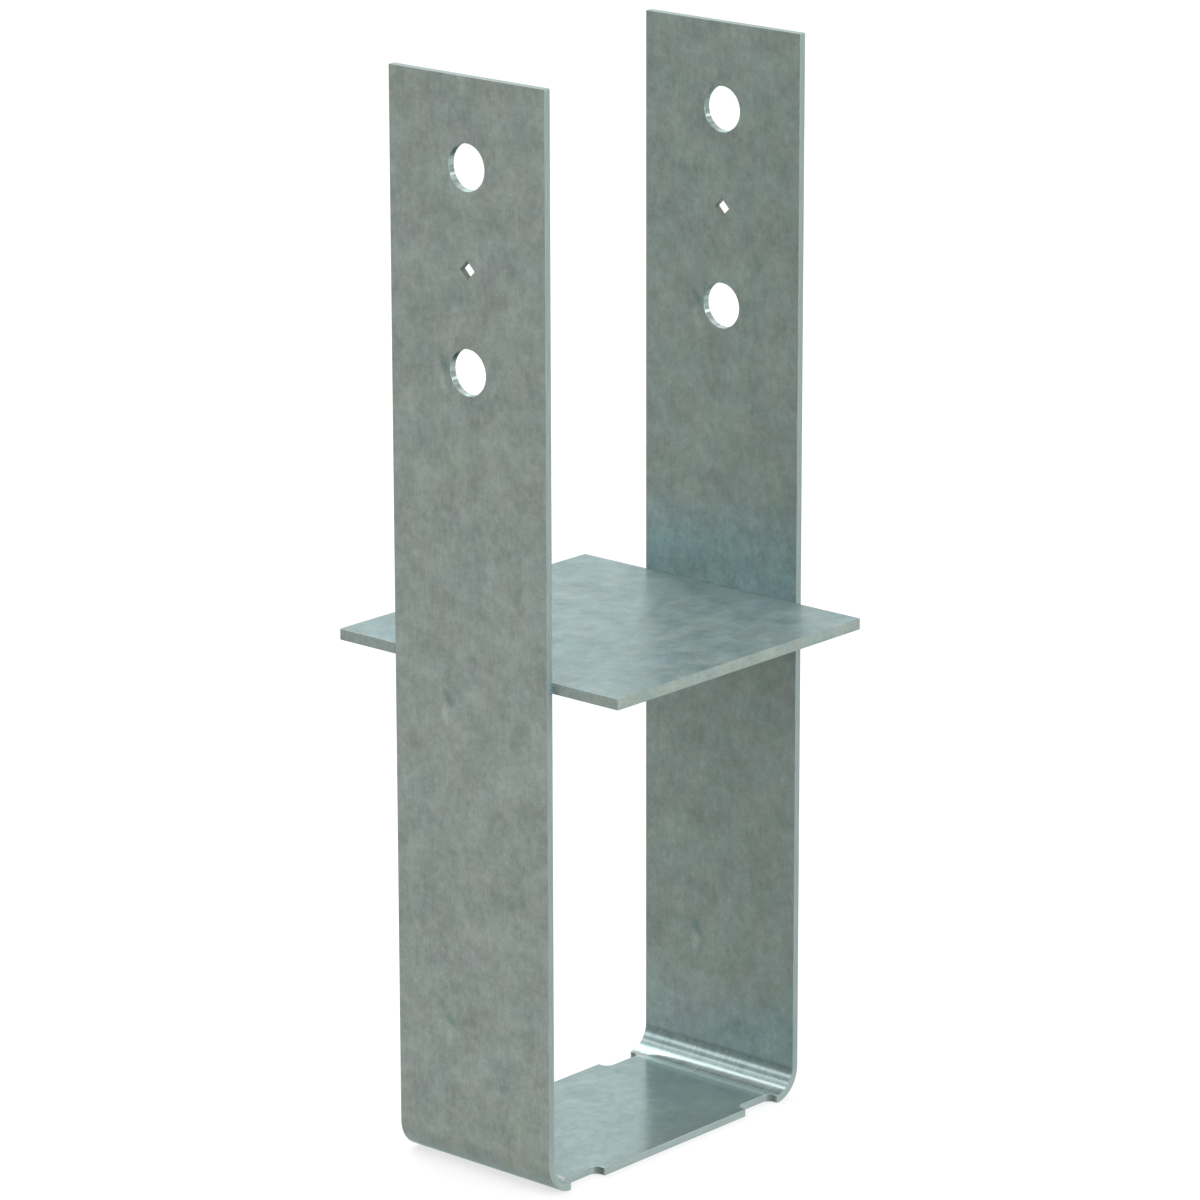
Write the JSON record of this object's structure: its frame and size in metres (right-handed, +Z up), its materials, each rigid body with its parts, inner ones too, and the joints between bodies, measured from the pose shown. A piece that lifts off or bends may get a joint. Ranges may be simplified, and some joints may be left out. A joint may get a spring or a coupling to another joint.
{
  "type": "timber post base",
  "caption": "U-shaped galvanised steel base for a square timber post: a folded strap with bolt holes, and a flat bearing plate welded between its legs above the foot.",
  "frame": {"origin": "middle of the underside of the strap's flat base, which is also the bottom centre of the bounding box", "axes": "+Z up the legs to their open ends; +Y across the post from one leg to the other, along the bolts; +X along the strap's width"},
  "size_m": [0.1396, 0.1458, 0.422],
  "materials": {
    "galvanised_strap": "zinc-coated sheet steel, faintly streaked along the strip, satin",
    "galvanised_plate": "zinc-coated plate, fine wavy grain, satin",
    "weld_metal": "zinc-coated weld bead with close ripples"
  },
  "bodies": {
    "root": {"bent_strap": "galvanised_strap", "bearing_plate": "galvanised_plate", "weld_front_left": "weld_metal", "weld_front_right": "weld_metal", "weld_rear_left": "weld_metal", "weld_rear_right": "weld_metal"}
  },
  "joints": []
}
